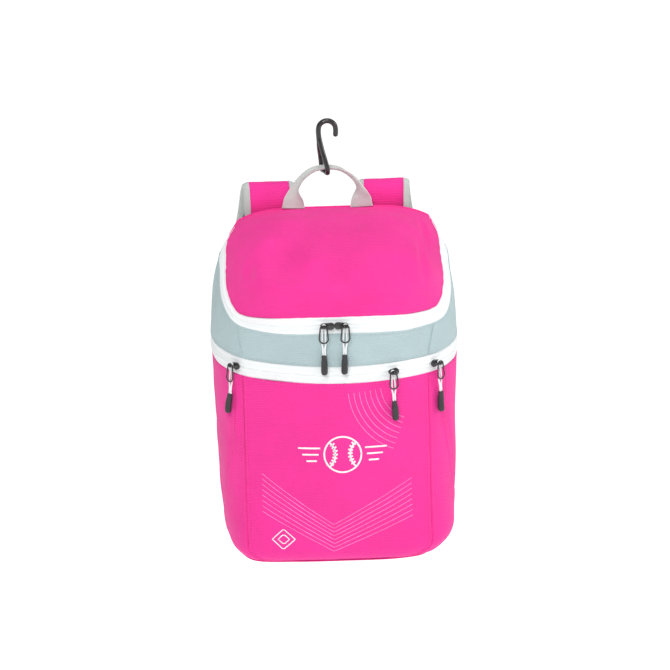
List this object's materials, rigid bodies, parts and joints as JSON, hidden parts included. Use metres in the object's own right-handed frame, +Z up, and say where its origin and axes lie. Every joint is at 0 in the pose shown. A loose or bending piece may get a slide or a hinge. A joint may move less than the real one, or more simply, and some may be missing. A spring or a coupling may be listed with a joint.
{
  "type": "baseball backpack hanging by its hook",
  "caption": "Soft youth sports backpack with a domed zip lid, a zipped band around its front, padded shoulder straps, a grab handle and a plastic hanging hook.",
  "frame": {"origin": "inside top of the hook's crook, where the bag hangs", "axes": "+Z up, the bag's front faces -Y and its back +Y, +X is the right side seen from the front"},
  "size_m": [0.3328, 0.2616, 0.5642],
  "materials": {
    "pink_cloth": "hot pink woven polyester, matte",
    "back_mesh": "dark grey spacer mesh",
    "grey_cloth": "pale grey-blue woven polyester",
    "zip_tape": "white zip tape with a covered coil",
    "hard_plastic": "black moulded plastic",
    "pull_ring": "black coated wire",
    "pull_cord": "white round cord",
    "grip_rubber": "black moulded rubber, matte",
    "strap_binding": "light grey folded binding tape",
    "webbing": "light grey woven webbing"
  },
  "bodies": {
    "root": {"front_panel": "pink_cloth", "side_panel_left": "pink_cloth", "side_panel_right": "pink_cloth", "bottom_panel": "pink_cloth", "lid": "pink_cloth", "strap_pad_left": "pink_cloth", "strap_pad_right": "pink_cloth", "back_panel": "back_mesh", "band_front": "grey_cloth", "band_left": "grey_cloth", "band_right": "grey_cloth", "zip_tape_upper": "zip_tape", "zip_tape_front": "zip_tape", "zip_tape_left": "zip_tape", "zip_tape_right": "zip_tape", "zip_slider_1": "hard_plastic", "zip_slider_2": "hard_plastic", "zip_slider_3": "hard_plastic", "zip_slider_4": "hard_plastic", "zip_slider_5": "hard_plastic", "ladder_lock_left": "hard_plastic", "ladder_lock_right": "hard_plastic", "hook": "hard_plastic", "zip_ring_1": "pull_ring", "zip_ring_2": "pull_ring", "zip_ring_3": "pull_ring", "zip_ring_4": "pull_ring", "zip_ring_5": "pull_ring", "zip_cord_1": "pull_cord", "zip_cord_2": "pull_cord", "zip_cord_3": "pull_cord", "zip_cord_4": "pull_cord", "zip_cord_5": "pull_cord", "zip_grip_1": "grip_rubber", "zip_grip_2": "grip_rubber", "zip_grip_3": "grip_rubber", "zip_grip_4": "grip_rubber", "zip_grip_5": "grip_rubber", "strap_binding_left_outer": "strap_binding", "strap_binding_left_inner": "strap_binding", "strap_binding_right_outer": "strap_binding", "strap_binding_right_inner": "strap_binding", "strap_tab_left": "webbing", "strap_tab_right": "webbing", "strap_webbing_left": "webbing", "strap_webbing_right": "webbing", "handle": "webbing"}
  },
  "joints": []
}
